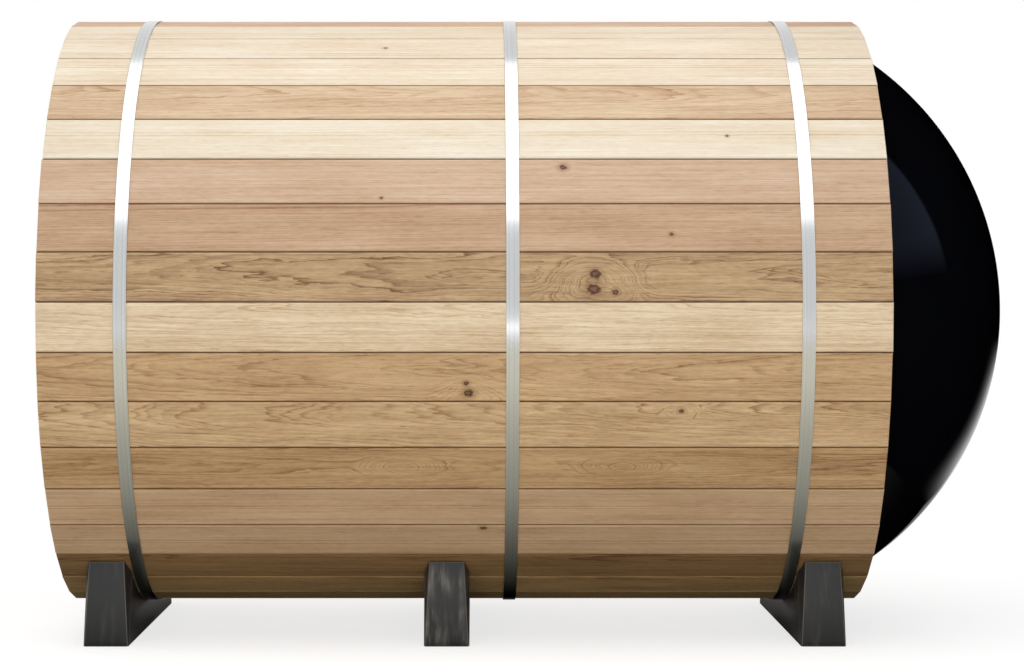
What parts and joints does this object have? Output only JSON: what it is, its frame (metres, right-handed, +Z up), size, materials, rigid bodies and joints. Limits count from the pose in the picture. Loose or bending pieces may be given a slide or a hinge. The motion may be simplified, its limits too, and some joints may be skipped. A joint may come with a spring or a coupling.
{
  "type": "barrel sauna",
  "caption": "Horizontal barrel sauna of cedar staves with steel bands, moulded cradles, a plank end wall with a glazed door, and a dark acrylic dome closing the other end.",
  "frame": {"origin": "on the ground, at the centre of the footprint's bounding box, half way between the door end and the tip of the dome", "axes": "+X along the barrel towards the dome, +Y towards the side away from the front, +Z up"},
  "size_m": [2.908, 1.8377, 1.9203],
  "materials": {
    "stave_cedar": "planed, unfinished, satin",
    "wall_cedar": "planed, unfinished, satin",
    "trim_cedar": "planed, unfinished, satin",
    "band_steel": "fine brushed stainless",
    "hinge_steel": "fine brushed stainless",
    "clamp_metal": "satin black powder coat",
    "cradle_plastic": "moulded, satin, scuffed",
    "dome_acrylic": "polished smoked acrylic",
    "door_glass": "bronze tinted, clear"
  },
  "bodies": {
    "root": {"staves_ridge": "stave_cedar", "staves_roof_front": "stave_cedar", "staves_upper_front": "stave_cedar", "staves_lower_front": "stave_cedar", "staves_belly_front": "stave_cedar", "staves_keel": "stave_cedar", "staves_belly_back": "stave_cedar", "staves_lower_back": "stave_cedar", "staves_upper_back": "stave_cedar", "staves_roof_back": "stave_cedar", "band_door_end": "band_steel", "band_middle": "band_steel", "band_dome_end": "band_steel", "cradle_door_end": "cradle_plastic", "cradle_middle": "cradle_plastic", "cradle_dome_end": "cradle_plastic", "dome": "dome_acrylic", "dome_clamp_ring": "clamp_metal", "dome_carrier_ring": "trim_cedar", "end_wall_front": "wall_cedar", "end_wall_back": "wall_cedar", "end_wall_over_door": "wall_cedar", "end_wall_under_door": "wall_cedar", "door_jamb_front": "trim_cedar", "door_jamb_back": "trim_cedar", "door_head": "trim_cedar", "door_sill": "trim_cedar", "door_leaf": "wall_cedar", "door_glass": "door_glass", "door_glass_beads": "trim_cedar", "door_hinges": "hinge_steel", "door_handle": "trim_cedar"}
  },
  "joints": []
}
